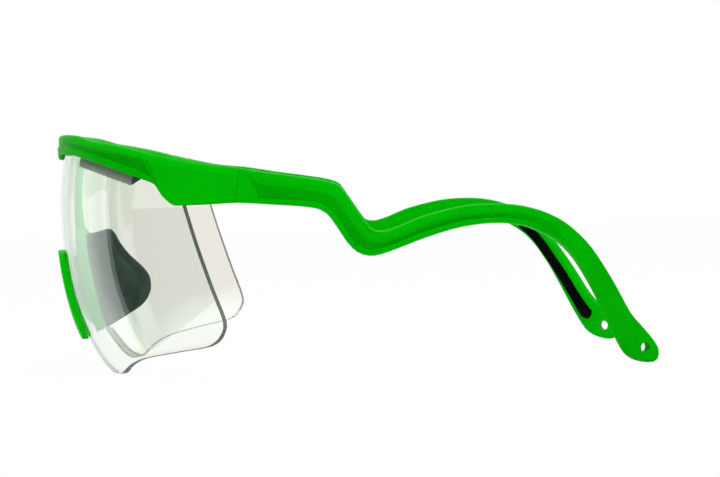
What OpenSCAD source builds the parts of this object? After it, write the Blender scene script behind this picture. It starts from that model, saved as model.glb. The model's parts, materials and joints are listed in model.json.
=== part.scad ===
// Wraparound cycling glasses: one toric shield in a lofted brow bar, two folding temples.
// Front faces -X, the wearer's left side is -Y, the glasses stand on Z = 0. Millimetres.

/* [Lens] */
// Radius of the lens in plan, at its fullest height
lens_r = 74; // [72:0.5:77]
// Radius of the lens in side view
lens_rv = 100; // [95:1:110]
// Thickness of the lens
lens_t = 2; // [1.6:0.1:2.4]
// Height of the fullest point above the table
lens_apex_z = 45.5; // [44:0.5:47]
// Depth of the lens edge in the brow groove
lens_seat = 2; // [1.5:0.1:2.4]
// Height of the bevelled vent edge
vent_h = 1.6; // [1:0.1:2]
// Air gap between the vent edge and the brow
vent_gap = 0.4; // [0.3:0.1:0.8]

/* [Brow bar] */
// How much larger the plan radius of the brow face is than the lens radius
brow_extra = 2.6; // [2:0.1:3.2]
// Sweep of that radius to each side
brow_sweep = 56; // [52:1:58]
// Radius of the tighter bend behind it
bend_r = 39.5; // [36:0.5:44]
// Wall of the brow in front of the lens at the centre
brow_wall = 1.8; // [1.6:0.1:2]
// Thickness of the frame at the hinge
hinge_t = 6.5; // [6:0.1:7.5]

/* [Hinges] */
// Lean of the hinge axis from upright
hinge_lean = 10; // [0:1:12]
// Radius of the screw shank
pin_r = 1; // [0.8:0.05:1.1]
// Radius of the screw head
head_r = 1.6; // [1.4:0.1:1.8]
// Height of the temple tongue between the ears
tongue_h = 3.5; // [3:0.1:4]
// Radius of the ear and tongue ends
ear_r = 2.2; // [2:0.1:2.4]
// Gap between moving faces
move_gap = 0.3; // [0.25:0.05:0.4]
// Running clearance of the tongue on the screw
pin_fit = 0.05; // [0.03:0.01:0.1]

/* [Nose piece] */
// Thickness of the clip in front of the lens
clip_t = 1.5; // [1.2:0.1:2]
// Width of the two tongues that join clip and carrier
tongue_w = 2.4; // [2:0.1:3]
// Half width of the strut behind the lens
strut_half = 3.2; // [2.5:0.1:4]
// Band width of the two nose legs
leg_band = 3.6; // [3:0.1:4.5]
// Thickness of the rubber saddle
pad_t = 1.8; // [1.4:0.1:2.4]

/* [Temples] */
// Radius of the strap hole in the tip
strap_r = 1.45; // [1.2:0.05:1.8]
// How far the rubber strip stands off the inner face
grip_t = 0.8; // [0.5:0.1:1.2]
// Steps between two listed temple sections
temple_steps = 2; // [1:1:3]

/* [Hidden] */
eps = 0.02;
fit_gap = 0.05;
lens_play = 0.1;
far = 300;
lens_front_x = -84.1;
lens_axis_x = lens_front_x + lens_r;
brow_low_z = 62.75;
brow_r = lens_r + brow_extra;
brow_cx = lens_axis_x - lens_radius(brow_low_z) - brow_wall + brow_r;
bend_cx = brow_cx - (brow_r - bend_r) * cos(brow_sweep);
bend_cy = (brow_r - bend_r) * sin(brow_sweep);
half_w = bend_cy + bend_r;
split_lead = 0.45;
split_x = bend_cx - split_lead;
split_z = 52.5;
pin_y = half_w - hinge_t + ear_r;
// The temple table is read with the hinge axis at this X.
table_split = -29;
temple_move = split_x - table_split;
// Cutters at the hinge reach this far from the axis.
hinge_reach = 20;
hinge_side = 10;
head_seat = 3.2;
head_taper = 1;
shank_low = 4.2;
slot_w = 0.5;

// Brow rows: angle at the top edge, angle at the bottom edge, top Z, bottom Z,
// thickness, channel depth, centre lip, drop of the upper ridge below the top.
brow_rows = [
    [0, 0, 68.1, brow_low_z, 5.8, 0.25, 1.4, 1.7],
    [3.2, 3.2, 68.1, brow_low_z, 5.8, 0.25, 1.4, 1.7],
    [5.6, 5.6, 68.1, brow_low_z, 5.8, 0.25, 0, 1.7],
    [9, 9, 68.1, brow_low_z, 5.8, 0.25, 0, 1.7],
    [14, 14, 68.1, brow_low_z, 5.8, 0.3, 0, 1.7],
    [20, 20, 68.05, 62.7, 5.8, 0.4, 0, 1.8],
    [26, 26, 67.8, 62.05, 5.8, 0.55, 0, 2.1],
    [32, 32, 66.9, 60.75, 5.8, 0.7, 0, 2.3],
    [38, 38, 65.95, 59.3, 5.9, 0.85, 0, 2.3],
    [43, 43.4, 65, 57.55, 5.9, 1, 0, 2.3],
    [46.6, 48.4, 64.1, 55.95, 6, 1.1, 0, 2.3],
    [48.8, 52.2, 63.45, 54.55, 6.1, 1.1, 0, 2.3],
    [49.8, 54.2, 63.15, 53.7, 6.1, 1.1, 0, 2.3],
    [50.6, 55.2, 62.9, 52.7, 6.2, 0, 0, 2.3],
    [51.8, 56.2, 62.6, 51, 6.2, 0, 0, 2.3],
    [53.6, 57.8, 62.05, 49.8, 6.3, 0, 0, 2.3],
    [56, 60, 61.4, 48.65, 6.4, 0, 0, 2.3],
    [59.2, 62.6, 60.95, 47.7, 6.5, 0, 0, 2.3],
    [63.2, 65.4, 60.4, 47.6, 6.5, 0, 0, 2.3],
    [69, 69.5, 59.65, 47.6, 6.5, 0, 0, 2.3],
    [76, 75.5, 58.8, 47.65, 6.5, 0, 0, 2.3],
    [84, 82.5, 58, 47.8, 6.5, 0, 0, 2.3],
    [91, 89, 57.15, 47.9, 6.5, 0, 0, 2.3],
    [96, 94, 56.5, 47.8, 6.5, 0, 0, 2.3]
];
brow_steps = 2;

// Temple rows: top edge X and Z, bottom edge X and Z, thickness, channel depth.
temple_rows = [
    [-34, 58.2, -35.6, 47.7, 6.5, 0],
    [-28.2, 57.2, -29.8, 47.9, 6.5, 0],
    [-26.9, 56.9, -23.6, 47.5, 6.45, 0],
    [-26, 56.8, -22.4, 47.4, 6.4, 0.9],
    [-21, 55.9, -17.9, 47, 6.2, 0.9],
    [-14.8, 54.9, -13, 46.55, 5.9, 0.9],
    [-9.2, 53.95, -9.4, 46.05, 5.6, 0.9],
    [-5.6, 53.25, -7.3, 45.55, 5.4, 0.9],
    [-3.2, 52.5, -6, 44.8, 5.3, 0.9],
    [-1.2, 51.35, -5, 44.05, 5.2, 0.9],
    [1, 48.1, -3.6, 42.2, 5.1, 0.9],
    [3.6, 44.1, -1.9, 39.5, 5, 0.9],
    [5.3, 41.5, 0.2, 36.2, 4.9, 0.9],
    [6.6, 39.9, 2.6, 33.8, 4.9, 0.9],
    [8.4, 39.3, 5.6, 32.7, 4.8, 0.9],
    [10.6, 39.4, 9, 33, 4.8, 0.9],
    [14.2, 40.5, 14.2, 34.7, 4.7, 0.9],
    [19.7, 42.7, 20.4, 36.9, 4.6, 0.9],
    [26.9, 44.5, 27.6, 39, 4.6, 0.9],
    [33.1, 45.5, 33.4, 40.05, 4.5, 0.85],
    [39, 45.65, 38.7, 40.4, 4.5, 0.75],
    [44.5, 45.3, 43.4, 40.15, 4.4, 0.6],
    [49.6, 44.2, 47.6, 39.3, 4.3, 0.4],
    [54.4, 42.4, 51.6, 37.7, 4.2, 0.15],
    [58.6, 39.9, 55.2, 35.65, 4.1, 0],
    [62.2, 36.7, 58.4, 33.2, 4, 0],
    [65.6, 32.7, 61.4, 29.85, 3.9, 0],
    [68.6, 28.1, 64.2, 25.6, 3.7, 0],
    [71.2, 23.9, 66.7, 21.2, 3.6, 0],
    [74, 18.9, 69.1, 16.4, 3.5, 0],
    [76.8, 14.1, 71.7, 10.9, 3.4, 0],
    [79.6, 11.2, 74, 6.3, 3.3, 0],
    [82.4, 8.1, 75.8, 3.2, 3.2, 0],
    [84.2, 5.7, 77.6, 1.6, 3.2, 0],
    [85.1, 3.9, 79.4, 0.7, 3.1, 0],
    [85.2, 2.4, 81.6, 0.15, 2.9, 0],
    [84.8, 1.1, 83.4, 0.2, 2.4, 0]
];

// Middle of the temple in plan: X and how far it lies inside the widest point of the brow.
temple_inset = [
    [-60, hinge_t / 2], [-29, hinge_t / 2], [-13, 2.06], [2, 1.26], [17, 0.96], [32, 1.36],
    [40, 2.06], [52, 3.66], [60, 5.86], [66, 9.06], [71, 13.06], [75, 17.06], [78, 19.96],
    [81, 21.66], [86, 23.06], [94, 24.86]
];
strap_x = 80.9;
strap_z = 4.4;

// Rim of the lens from the lowest lobe round to the brow: X, Y, Z.
rim_rows = [
    [-70, 20, 0], [-64.6, 31.7, 0.15], [-62.5, 36.7, 1.7], [-60.4, 40.7, 3.5], [-56.6, 46.3, 5.5],
    [-47.7, 54.9, 7.5], [-40.8, 59.5, 8.7], [-37.4, 61.6, 9.8], [-35.1, 63.5, 12.1],
    [-34.2, 65.3, 16], [-37.3, 66.6, 25.2], [-40.1, 66.9, 33.9], [-43.9, 65.8, 46.9],
    [-47.3, 63.9, 58], [-49.7, 62, 66]
];
rim_turn = 27;
// Nose notch from the lobe to its top: half width, Z.
notch_rows = [
    [31, -3], [29, -0.2], [27, 0.6], [25.7, 1.6], [24.2, 3.3], [23, 5.4], [21.8, 7.2],
    [20.6, 9.2], [18.8, 11], [17.4, 13.6], [16.4, 17.5], [15.6, 22], [14.6, 27], [12.8, 30.8],
    [9, 32.5], [0, 32.9]
];
// Rebate round the lower notch on the face side: rows it follows, width and depth from the front.
rebate_rows = 7;
rebate_w = 1.4;
rebate_deep = 1;
// Outline of the clip: outer edge from its foot to the top, inner edge back down.
clip_outer = [
    [18.7, 9.3], [19.9, 10], [20, 11.6], [18.9, 14.6], [17.9, 18], [17, 22], [16.3, 26.5],
    [16, 30.5], [15.3, 33], [12.8, 34.2], [8, 34.6], [0, 34.8]
];
clip_inner = [
    [16.6, 9.5], [14.8, 10.6], [12.6, 12.4], [10.6, 14.3], [8.9, 17], [7.8, 20], [7, 23.5],
    [5.8, 27.2], [3.6, 29.6], [0, 30.4]
];
// Vent edge: angles of its lower corners, level to read the plan at, lag of the upper corners.
vent_from = 27.4;
vent_to = 49.1;
vent_level = 57;
vent_slant = 2.6;
vent_steps = 12;

// Saddle rows: front edge X, Y, Z, then rear edge X, Y, Z.
pad_rows = [
    [-77.4, 0, 39.4, -70, 0, 40.2],
    [-77.4, 4.6, 38.2, -69.4, 5.2, 39.2],
    [-77.2, 6.6, 35.8, -68.4, 9, 36.4],
    [-76.6, 7.4, 33, -65.9, 12, 32.6],
    [-75.7, 7.9, 29.8, -62.5, 15.2, 29],
    [-74.6, 8.6, 26.4, -60.3, 17.2, 25.9],
    [-73.5, 9.4, 22.9, -59.8, 18.2, 22.7],
    [-72.4, 10.2, 19.9, -60.4, 18.1, 19.9],
    [-71.3, 11, 16.9, -62.3, 17.3, 17],
    [-70.4, 11.8, 14.4, -65, 15.7, 14.9],
    [-69.6, 12.4, 12.7, -67.6, 13.5, 13.1]
];
pad_steps = 3;
// Middle line of the nose legs: half width, Z.
leg_rows = [
    [12.4, 7], [11.8, 11], [10.6, 15], [9.7, 18], [8.9, 22], [8.2, 26.5], [7.7, 31], [6.7, 35],
    [4.2, 38.2], [0, 39.4]
];
// Depth of the carrier behind the lens face: front, and rear where the saddle starts.
carrier_front = 4.1;
carrier_rear = 7.2;
rear_gain = 0.095;
rear_z = 38;
rear_stop_z = 48;
// Slanted foot of the legs: a point on it and its slope.
foot_x = -72;
foot_z = 11.2;
foot_slope = 0.66;
// Tongues from the clip to the carrier: distance from the middle, lower and upper end.
tongue_y = 8.5;
tongue_low = 19;
tongue_top = 25;
// Head of the carrier, screwed behind the brow.
head_low = 61.5;
head_tall = 4.5;
head_half = 5;
head_rear = 9.7;

// Smooth curve through listed rows, t counts rows.
function pick(rows, i) = rows[max(0, min(len(rows) - 1, i))];
function spline(rows, t) =
    let(
        i = min(len(rows) - 2, floor(t)),
        u = t - i,
        a = pick(rows, i - 1),
        b = rows[i],
        c = rows[i + 1],
        d = pick(rows, i + 2)
    )
    b + u / 2 * (c - a) + u * u * (a - 2.5 * b + 2 * c - d / 2)
        + u * u * u * (1.5 * (b - c) + (d - a) / 2);
function refine(rows, n) = [for (k = [0 : n * (len(rows) - 1)]) spline(rows, k / n)];
function reverse(v) = [for (i = [len(v) - 1 : -1 : 0]) v[i]];
function unit(v) = v / norm(v);

// Plan of the brow face at an angle from the front, and the way inward from it.
function plan_x(a) =
    abs(a) <= brow_sweep ? brow_cx - brow_r * cos(a)
    : abs(a) <= 90 ? bend_cx - bend_r * cos(a)
    : bend_cx + bend_r * (abs(a) - 90) * PI / 180;
function plan_y(a) =
    abs(a) <= brow_sweep ? brow_r * sin(a)
    : sign(a) * (bend_cy + (abs(a) <= 90 ? bend_r * sin(abs(a)) : bend_r));
function inward(a) = abs(a) <= 90 ? [cos(a), -sin(a)] : [0, -sign(a)];

// Brow section as inward offset and height, from a row of the table.
function brow_section(r) =
    let(
        top = r[2], low = r[3], th = r[4], ch = r[5], lip = r[6],
        ridge = top - r[7], rib = low + 2, lean = 0.85, back = 0.35 * min(1, 4 * ch),
        fall = ridge - rib
    )
    [
        [lean + 1.6, top], [lean + 0.8, top - 0.12], [lean + 0.3, top - 0.45],
        [lean * 0.85, top - 1], [back, ridge], [0.85 * back + 0.3 * ch, ridge - 0.15 * fall],
        [0.6 * back + 0.85 * ch, ridge - 0.4 * fall], [0.35 * back + ch, ridge - 0.65 * fall],
        [0.1 * back + ch, rib + 0.25], [0, rib], [0, low + 1 - lip], [0.12, low + 0.35 - lip],
        [0.45, low - lip], [1.2, low - lip], [1.4, low], [th * 0.6, low],
        [th - 0.8, low], [th - 0.2, low + 0.25], [th, low + 0.9], [th, top - 1.5],
        [th - 0.35, top - 0.5], [th - 1.1, top - 0.08], [th - 1.9, top]
    ];
function brow_ring(r, side) = [
    for (p = brow_section(r))
        let(
            a = side * (r[0] + (r[1] - r[0]) * (r[2] - p[1]) / (r[2] - r[3])),
            n = inward(a)
        )
        [plan_x(a) + n[0] * p[0], plan_y(a) + n[1] * p[0], p[1]]
];

// Closed skin over rings of points, with a fan over each end.
function middle(ring) = [for (k = [0 : 2]) [for (p = ring) p[k]] * [for (p = ring) 1]] / len(ring);
module loft(rings) {
    n = len(rings[0]);
    m = len(rings);
    points = concat([for (g = rings) for (p = g) p], [middle(rings[0]), middle(rings[m - 1])]);
    sides = [
        for (i = [0 : m - 2]) for (j = [0 : n - 1])
            let(a = i * n + j, b = i * n + (j + 1) % n)
            each [[a, b, b + n], [a, b + n, a + n]]
    ];
    ends = [
        for (j = [0 : n - 1])
            each [[(j + 1) % n, j, m * n], [(m - 1) * n + j, (m - 1) * n + (j + 1) % n, m * n + 1]]
    ];
    polyhedron(points, concat(sides, ends));
}

// Everything between two depths below the front face of the lens.
module lens_layer(from, to) {
    translate([lens_axis_x, 0, lens_apex_z])
        rotate_extrude($fn = 180)
            intersection() {
                translate([lens_r - lens_rv, 0])
                    difference() {
                        circle(lens_rv - from, $fn = 360);
                        circle(lens_rv - to, $fn = 360);
                    }
                translate([lens_r / 3, -lens_r])
                    square(2 * lens_r);
            }
}
// Solid of everything deeper than one depth.
module lens_core(from) {
    translate([lens_axis_x, 0, lens_apex_z])
        rotate_extrude($fn = 180)
            intersection() {
                translate([lens_r - lens_rv, 0])
                    circle(lens_rv - from, $fn = 360);
                translate([0, -lens_r])
                    square(2 * lens_r);
            }
}
function lens_radius(z) = lens_r - lens_rv + sqrt(lens_rv * lens_rv - (z - lens_apex_z) * (z - lens_apex_z));

// Side view prism, swept across the whole width.
module across(points) {
    rotate([90, 0, 0])
        linear_extrude(far, center = true)
            polygon(points);
}
// Front view prism over the front half only.
module frontal(points) {
    translate([lens_axis_x - 10, 0, 0])
        rotate([90, 0, -90])
            linear_extrude(far / 2)
                polygon(points);
}
function mirrored(v) = concat(v, [for (p = reverse(v)) if (p[0] > eps) [-p[0], p[1]]]);

// Lens outline without its notch and vents, grown all round the rear rim.
seat_rows = [for (i = [0 : 12]) [plan_x(brow_rows[i][1]), brow_rows[i][3] + lens_seat]];
module rim_side(rim) {
    rotate([0, 0, rim_turn])
        across(concat([[-far, -9], [rim[0][0], -9]], rim, [[rim[len(rim) - 1][0], far], [-far, far]]));
}
module lens_blank(play) {
    rim = [for (p = refine(rim_rows, 3)) [p[0] * cos(rim_turn) + p[1] * sin(rim_turn) + play, p[2]]];
    intersection() {
        lens_layer(-play, lens_t + play);
        across(concat([[-far, -far], [-far, seat_rows[0][1]]], seat_rows,
            [[split_x - 4, split_z - 3], [split_x - 1, -far]]));
        rim_side(rim);
        mirror([0, 1, 0])
            rim_side(rim);
    }
}
// Bevelled vent cut along the top edge on one side.
function vent_ring(a) =
    let(
        x = lens_axis_x - lens_radius(vent_level) * cos(a),
        low = lookup(x, seat_rows) - lens_seat - vent_gap - vent_h,
        r = lens_radius(low)
    )
    [
        for (p = [[2, -2], [-1, 1], [-lens_t - 1, 1], [-lens_t - 1, 4], [2, 4]])
            let(t = a + vent_slant * min(1, p[1]))
            [lens_axis_x - (r + p[0]) * cos(t), (r + p[0]) * sin(t), low + p[1] * vent_h]
    ];
module vent_cut() {
    loft([for (k = [0 : vent_steps]) vent_ring(vent_from + (vent_to - vent_from) * k / vent_steps)]);
}

module hinge_place(side) {
    translate([split_x, side * pin_y, split_z])
        rotate([0, hinge_lean, 0])
            mirror([0, (1 - side) / 2, 0])
                children();
}
module brow_bar() {
    color("#00b400")
        difference() {
            loft(concat(
                reverse([for (r = refine(brow_rows, brow_steps)) brow_ring(r, -1)]),
                [for (r = refine(brow_rows, brow_steps)) if (r[1] > 0.1) brow_ring(r, 1)]
            ));
            lens_blank(lens_play);
            for (s = [-1, 1])
                hinge_place(s) {
                    difference() {
                        translate([-move_gap / 2, -hinge_side, -hinge_reach / 2])
                            cube(hinge_reach);
                        cylinder(hinge_reach + 2, r = ear_r, center = true, $fn = 48);
                        translate([-2, -ear_r - 2, -hinge_reach / 2 - 1])
                            cube([2, 2 * ear_r + 2, hinge_reach + 2]);
                    }
                    cylinder(tongue_h + move_gap, r = ear_r + move_gap, center = true, $fn = 48);
                    translate([-ear_r - move_gap, -hinge_side, -(tongue_h + move_gap) / 2])
                        cube([hinge_reach, hinge_side, tongue_h + move_gap]);
                    cylinder(hinge_reach, r = pin_r + eps, center = true, $fn = 48);
                    translate([0, 0, head_seat])
                        cylinder(head_taper + eps, pin_r + eps, head_r + eps, $fn = 48);
                    translate([0, 0, head_seat + head_taper])
                        cylinder(3, r = head_r + eps, $fn = 48);
                }
        }
}

// Shift a polyline sideways by its own normal.
function shifted(v, d) = [
    for (i = [0 : len(v) - 1])
        let(t = unit(v[min(i + 1, len(v) - 1)] - v[max(i - 1, 0)]))
        v[i] + d * [t[1], -t[0]]
];

module lens() {
    low = shifted(refine([for (i = [0 : rebate_rows]) notch_rows[i]], 3), rebate_w);
    color([0.86, 0.9, 0.84, 0.6])
        difference() {
            lens_blank(0);
            frontal(mirrored(concat([[31, -20]], refine(notch_rows, 3))));
            intersection() {
                frontal(mirrored(concat([[32.8, -20]], low)));
                lens_core(rebate_deep);
            }
            vent_cut();
            mirror([0, 1, 0])
                vent_cut();
        }
}

module nose_clip() {
    outer = mirrored(refine(clip_outer, 3));
    inner = mirrored(refine(clip_inner, 3));
    color("#00b400") {
        intersection() {
            lens_layer(-clip_t - fit_gap, -fit_gap);
            frontal(concat(outer, reverse(inner)));
        }
        for (s = [-1, 1])
            intersection() {
                lens_layer(-clip_t / 2, carrier_front);
                frontal([
                    [s * tongue_y - tongue_w / 2, tongue_low], [s * tongue_y + tongue_w / 2, tongue_low],
                    [s * tongue_y + tongue_w / 2, tongue_top], [s * tongue_y - tongue_w / 2, tongue_top]
                ]);
            }
    }
}

// Rear face of the carrier, where the saddle starts, in side view.
rear_line = [
    for (z = [6, 12, 18, 24, 30, 36, 42, rear_stop_z, 54, 60, 70])
        [lens_axis_x - lens_radius(z) + carrier_rear + rear_gain * (rear_z - min(z, rear_stop_z)), z]
];
module nose_carrier() {
    foot = [for (x = [foot_x - 20, foot_x + 20]) [x, foot_z + foot_slope * (x - foot_x)]];
    leg = mirrored(refine(leg_rows, 3));
    color("#00b400") {
        intersection() {
            lens_layer(carrier_front, 2 * carrier_rear);
            across(concat([[-far, 6]], rear_line, [[-far, 70]]));
            across(concat(foot, [[foot_x + 20, far], [foot_x - 20, far]]));
            frontal(concat(shifted(leg, leg_band / 2), reverse(shifted(leg, -leg_band / 2))));
        }
        intersection() {
            lens_layer(carrier_front, 2 * carrier_rear);
            across(concat([[-far, 6]], rear_line, [[-far, 70]]));
            frontal([
                [-strut_half, rear_z], [strut_half, rear_z],
                [strut_half, head_low + head_tall], [-strut_half, head_low + head_tall]
            ]);
        }
        intersection() {
            translate([brow_cx, 0, head_low])
                cylinder(head_tall, r = brow_r - brow_rows[0][4] - 0.04, $fn = 180);
            translate([lens_front_x, -head_half, 0])
                cube([head_rear, 2 * head_half, far]);
        }
    }
}

// Ring of the saddle strip between its front and rear edges.
function pad_side(rows, s) = [for (r = rows) [r[0], s * r[1], r[2], r[3], s * r[4], r[5]]];
pad_all = refine(concat(
    pad_side(reverse(pad_rows), -1),
    [for (r = pad_side(pad_rows, 1)) if (r[1] != 0) r]
), pad_steps);
function front_of(r) = [r[0], r[1], r[2]];
function rear_of(r) = [r[3], r[4], r[5]];
function pad_ring(i) =
    let(
        r = pad_all[i],
        f = front_of(r),
        b = rear_of(r),
        along = unit(rear_of(pick(pad_all, i + 1)) + front_of(pick(pad_all, i + 1))
            - rear_of(pick(pad_all, i - 1)) - front_of(pick(pad_all, i - 1))),
        w = b - f,
        n = unit(cross(along, w)) * pad_t / 2
    )
    [
        for (p = [[0, 0.5], [0.04, 1], [0.5, 1], [0.85, 0.9], [0.96, 0.55], [1, 0],
            [0.96, -0.55], [0.85, -0.9], [0.5, -1], [0.04, -1], [0, -0.5]])
            f + w * p[0] + n * p[1]
    ];
module nose_pad() {
    color("#202422")
        intersection() {
            loft([for (i = [0 : len(pad_all) - 1]) pad_ring(i)]);
            translate([eps, 0, 0])
                across(concat([[0, 6]], rear_line, [[0, 70]]));
        }
}

// Temple ring from a row: offsets run along the station and across the thickness.
function plan_mid(x) = half_w - lookup_smooth(x, temple_inset);
function lookup_smooth(x, rows) =
    let(i = max([for (k = [0 : len(rows) - 2]) if (rows[k][0] <= x) k]))
    let(
        h = rows[i + 1][0] - rows[i][0],
        u = (x - rows[i][0]) / h,
        s0 = grade(rows, i) * h,
        s1 = grade(rows, i + 1) * h
    )
    rows[i][1] * (1 + 2 * u) * (1 - u) * (1 - u) + s0 * u * (1 - u) * (1 - u)
        + rows[i + 1][1] * u * u * (3 - 2 * u) - s1 * u * u * (1 - u);
function grade(rows, i) =
    (pick(rows, i + 1)[1] - pick(rows, i - 1)[1]) / (pick(rows, i + 1)[0] - pick(rows, i - 1)[0]);
function temple_point(r, along, out) =
    let(
        x = r[0] + (r[2] - r[0]) * along,
        z = r[1] + (r[3] - r[1]) * along,
        g = (plan_mid(x + 0.5) - plan_mid(x - 0.5)),
        n = unit([-g, 1])
    )
    [x + temple_move + n[0] * out, plan_mid(x) + n[1] * out, z];
function temple_ring(r) =
    let(
        h = norm([r[2] - r[0], r[3] - r[1]]),
        k = min(1, h / 6),
        t = r[4] / 2,
        e = min(1, r[4] / 3.5),
        c0 = 2.1 * k,
        c1 = h - 1.6 * k,
        w = c1 - c0,
        ch = max(0, r[5])
    )
    [
        for (p = [[0, 0], [0, t - 1.1 * e], [0.3 * k, t - 0.35 * e], [1.1 * k, t], [c0, t],
            [c0 + 0.3 * w, t - 0.35 * ch], [c0 + 0.55 * w, t - 0.85 * ch], [c0 + 0.8 * w, t - ch],
            [c1 - 0.2 * k, t - ch], [c1, t], [h - 0.9 * k, t], [h - 0.25 * k, t - 0.3 * e],
            [h, t - e], [h, 0.8 * e - t], [h - 0.25 * k, 0.25 * e - t], [h - 0.9 * k, -t],
            [h / 2, -t], [0.9 * k, -t], [0.25 * k, 0.25 * e - t], [0, 0.8 * e - t]])
            temple_point(r, p[0] / h, p[1])
    ];
module temple_body() {
    strap_g = plan_mid(strap_x + 0.5) - plan_mid(strap_x - 0.5);
    difference() {
        loft([for (r = refine(temple_rows, temple_steps)) temple_ring(r)]);
        translate([strap_x + temple_move, plan_mid(strap_x), strap_z])
            rotate([-90, 0, atan(strap_g)])
                cylinder(hinge_side, r = strap_r, center = true, $fn = 48);
        hinge_place(1) {
            difference() {
                union() {
                    translate([-hinge_reach, -hinge_side, -hinge_reach / 2])
                        cube([
                            hinge_reach + ear_r + move_gap * 1.5, hinge_side + ear_r + move_gap, hinge_reach
                        ]);
                    translate([-hinge_reach, -hinge_side, -hinge_reach / 2])
                        cube([hinge_reach + move_gap / 2, hinge_reach, hinge_reach]);
                }
                cylinder(tongue_h, r = ear_r, center = true, $fn = 48);
                translate([0, -ear_r - 1, -tongue_h / 2])
                    cube([hinge_side, 2 * ear_r + 1, tongue_h]);
                translate([move_gap / 2, 0, -tongue_h / 2])
                    cube([hinge_side, hinge_side, tongue_h]);
            }
            cylinder(hinge_reach, r = pin_r + pin_fit, center = true, $fn = 48);
        }
    }
}
module temple_left() {
    color("#00b400")
        mirror([0, 1, 0])
            temple_body();
}
module temple_right() {
    color("#00b400")
        temple_body();
}

// Rubber strip on the inner face, laid over a run of temple stations.
grip_from = 24;
grip_to = 30.6;
function grip_ring(t) =
    let(
        r = spline(temple_rows, t),
        h = norm([r[2] - r[0], r[3] - r[1]]),
        taper = min(1, (t - grip_from) * 2.5 + 0.35, (grip_to - t) * 2.5 + 0.35),
        half = 0.27 * taper,
        mid = 0.58,
        o = -r[4] / 2 - fit_gap
    )
    [
        for (p = [[half, 0], [half, -0.6 * grip_t], [0.8 * half, -grip_t], [-0.8 * half, -grip_t],
            [-half, -0.6 * grip_t], [-half, 0]])
            temple_point(r, mid + p[0], o + p[1])
    ];
module grip_body() {
    loft([for (k = [0 : 22]) grip_ring(grip_from + (grip_to - grip_from) * k / 22)]);
}
module grip_left() {
    color("#101010")
        mirror([0, 1, 0])
            grip_body();
}
module grip_right() {
    color("#101010")
        grip_body();
}

module hinge_screws() {
    color("#8c9094")
        for (s = [-1, 1])
            hinge_place(s)
                difference() {
                    union() {
                        translate([0, 0, -shank_low])
                            cylinder(shank_low + head_seat + eps, r = pin_r, $fn = 48);
                        translate([0, 0, head_seat])
                            cylinder(head_taper, pin_r, head_r, $fn = 48);
                        translate([0, 0, head_seat + head_taper - eps])
                            cylinder(slot_w / 2, r = head_r, $fn = 48);
                    }
                    translate([-hinge_side / 2, -slot_w / 2, head_seat + head_taper - 0.3])
                        cube([hinge_side, slot_w, 2]);
                }
}

brow_bar();
lens();
nose_carrier();
nose_clip();
nose_pad();
temple_left();
temple_right();
grip_left();
grip_right();
hinge_screws();
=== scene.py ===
"""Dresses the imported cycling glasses: satin green frame, clear shield, black rubber and a plain studio."""

import json
import math

import bmesh
import bpy
from bpy.props import FloatProperty, FloatVectorProperty, PointerProperty
from mathutils import Matrix, Vector

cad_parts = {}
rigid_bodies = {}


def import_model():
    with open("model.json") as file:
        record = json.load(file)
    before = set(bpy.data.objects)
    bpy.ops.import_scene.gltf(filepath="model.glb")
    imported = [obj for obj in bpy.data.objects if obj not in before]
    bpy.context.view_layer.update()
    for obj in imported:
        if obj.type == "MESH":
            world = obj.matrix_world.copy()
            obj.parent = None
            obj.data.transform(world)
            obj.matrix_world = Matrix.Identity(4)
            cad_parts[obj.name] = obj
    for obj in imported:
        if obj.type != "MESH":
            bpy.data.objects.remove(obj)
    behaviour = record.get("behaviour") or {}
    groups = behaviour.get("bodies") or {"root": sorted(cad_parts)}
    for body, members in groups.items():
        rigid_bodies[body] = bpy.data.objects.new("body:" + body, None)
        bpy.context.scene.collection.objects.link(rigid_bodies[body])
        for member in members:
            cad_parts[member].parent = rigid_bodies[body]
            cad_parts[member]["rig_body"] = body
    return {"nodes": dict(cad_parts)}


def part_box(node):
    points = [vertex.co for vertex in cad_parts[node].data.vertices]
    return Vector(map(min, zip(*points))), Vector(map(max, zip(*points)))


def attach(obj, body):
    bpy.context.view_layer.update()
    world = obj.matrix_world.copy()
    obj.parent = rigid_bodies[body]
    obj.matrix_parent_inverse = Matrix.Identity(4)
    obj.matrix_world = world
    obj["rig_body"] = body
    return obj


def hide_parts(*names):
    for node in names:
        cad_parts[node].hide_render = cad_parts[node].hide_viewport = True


bl_info = {
    "name": "Cycling Glasses",
    "version": (1, 0, 0),
    "blender": (4, 5, 0),
    "location": "View3D > Sidebar > Glasses",
    "description": "Finishes the frame, shield, nose piece and hinges of wraparound cycling glasses",
    "category": "Object",
}

MM = 0.001

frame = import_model()

# The shield is part of a torus: radius in plan, radius in side view, fullest height and thickness.
SHIELD_R = 74 * MM
SHIELD_SIDE_R = 100 * MM
SHIELD_APEX = 45.5 * MM
SHIELD_THICK = 2 * MM
SHIELD_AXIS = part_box("lens")[0][0] + SHIELD_R
# Slots of the shield's finishes, in the order in which its mesh gets them.
CLEAR, RIM, BEVEL, NOTCH = range(4)
# The face of the brow bar is an arc for so many degrees to each side of the nose, then a tighter bend.
BROW_CENTRE = -7.8 * MM
BROW_R = 76.6 * MM
BROW_SWEEP = 56
BEND_R = 39.5 * MM
# Brow bar and temple part on a plane through this place, which leans as the hinge does.
SPLIT_X = -29 * MM
SPLIT_Z = 52.5 * MM
HINGE_LEAN = math.radians(10)
# Half the gap between brow bar and temple, in the solids, which need room to turn, and as finished.
SOLID_GAP = 0.15 * MM
FINISHED_GAP = 0.025 * MM
# A channel's floor meets its walls at more than the first angle, and its own faces at less than the second.
CHANNEL_ANGLE = math.radians(12)
FLOOR_ANGLE = math.radians(7)
# The channel of a temple starts along a raked line, given by its X at table height and its slope.
CHANNEL_START = -6.5 * MM
CHANNEL_RAKE = 0.35
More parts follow.
